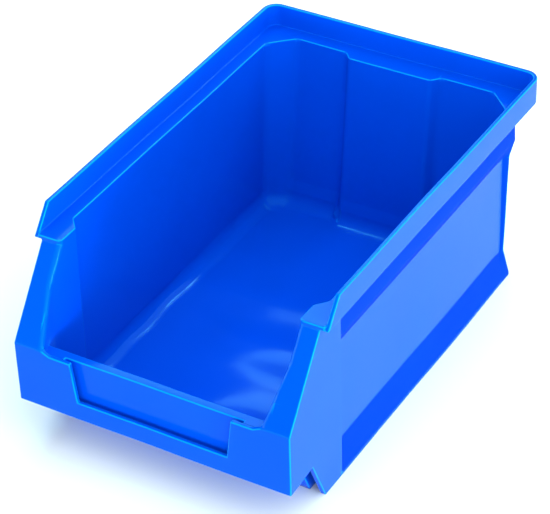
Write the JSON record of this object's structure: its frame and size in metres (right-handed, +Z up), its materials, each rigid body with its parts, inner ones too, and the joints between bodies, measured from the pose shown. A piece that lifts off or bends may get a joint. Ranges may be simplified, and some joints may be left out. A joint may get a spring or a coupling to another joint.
{
  "type": "stackable storage bin",
  "caption": "Open-front storage bin with a low front wall, a label slot, recessed side panels and a stacking rail that the next bin stands on.",
  "frame": {"origin": "centre of the bounding box, on the surface that the bin stands on", "axes": "+Z up, +X to the right of someone who faces the open front, +Y from the open front to the back"},
  "size_m": [0.102, 0.162, 0.073],
  "materials": {
    "blue_polypropylene": "smooth moulded, semi-gloss vivid blue"
  },
  "bodies": {
    "root": {"back_ledge": "blue_polypropylene", "back_lip": "blue_polypropylene", "back_shelf": "blue_polypropylene", "back_sill": "blue_polypropylene", "centre_back_panel": "blue_polypropylene", "floor_pan": "blue_polypropylene", "front_apron": "blue_polypropylene", "label_rim": "blue_polypropylene", "label_stop": "blue_polypropylene", "label_wall": "blue_polypropylene", "left_back_panel": "blue_polypropylene", "left_corner_lip": "blue_polypropylene", "left_corner_shelf": "blue_polypropylene", "left_front_cheek": "blue_polypropylene", "left_front_foot": "blue_polypropylene", "left_label_guide": "blue_polypropylene", "left_lip": "blue_polypropylene", "left_pillar_face": "blue_polypropylene", "left_pillar_wall": "blue_polypropylene", "left_rear_ledge": "blue_polypropylene", "left_rear_post": "blue_polypropylene", "left_rear_sill": "blue_polypropylene", "left_shelf": "blue_polypropylene", "left_shelf_tab": "blue_polypropylene", "left_side_ledge": "blue_polypropylene", "left_side_panel": "blue_polypropylene", "left_side_sill": "blue_polypropylene", "left_wing": "blue_polypropylene", "nose_floor": "blue_polypropylene", "nose_riser": "blue_polypropylene", "right_back_panel": "blue_polypropylene", "right_corner_lip": "blue_polypropylene", "right_corner_shelf": "blue_polypropylene", "right_front_cheek": "blue_polypropylene", "right_front_foot": "blue_polypropylene", "right_label_guide": "blue_polypropylene", "right_lip": "blue_polypropylene", "right_pillar_face": "blue_polypropylene", "right_pillar_wall": "blue_polypropylene", "right_rear_ledge": "blue_polypropylene", "right_rear_post": "blue_polypropylene", "right_rear_sill": "blue_polypropylene", "right_shelf": "blue_polypropylene", "right_shelf_tab": "blue_polypropylene", "right_side_ledge": "blue_polypropylene", "right_side_panel": "blue_polypropylene", "right_side_sill": "blue_polypropylene", "right_wing": "blue_polypropylene"}
  },
  "joints": []
}
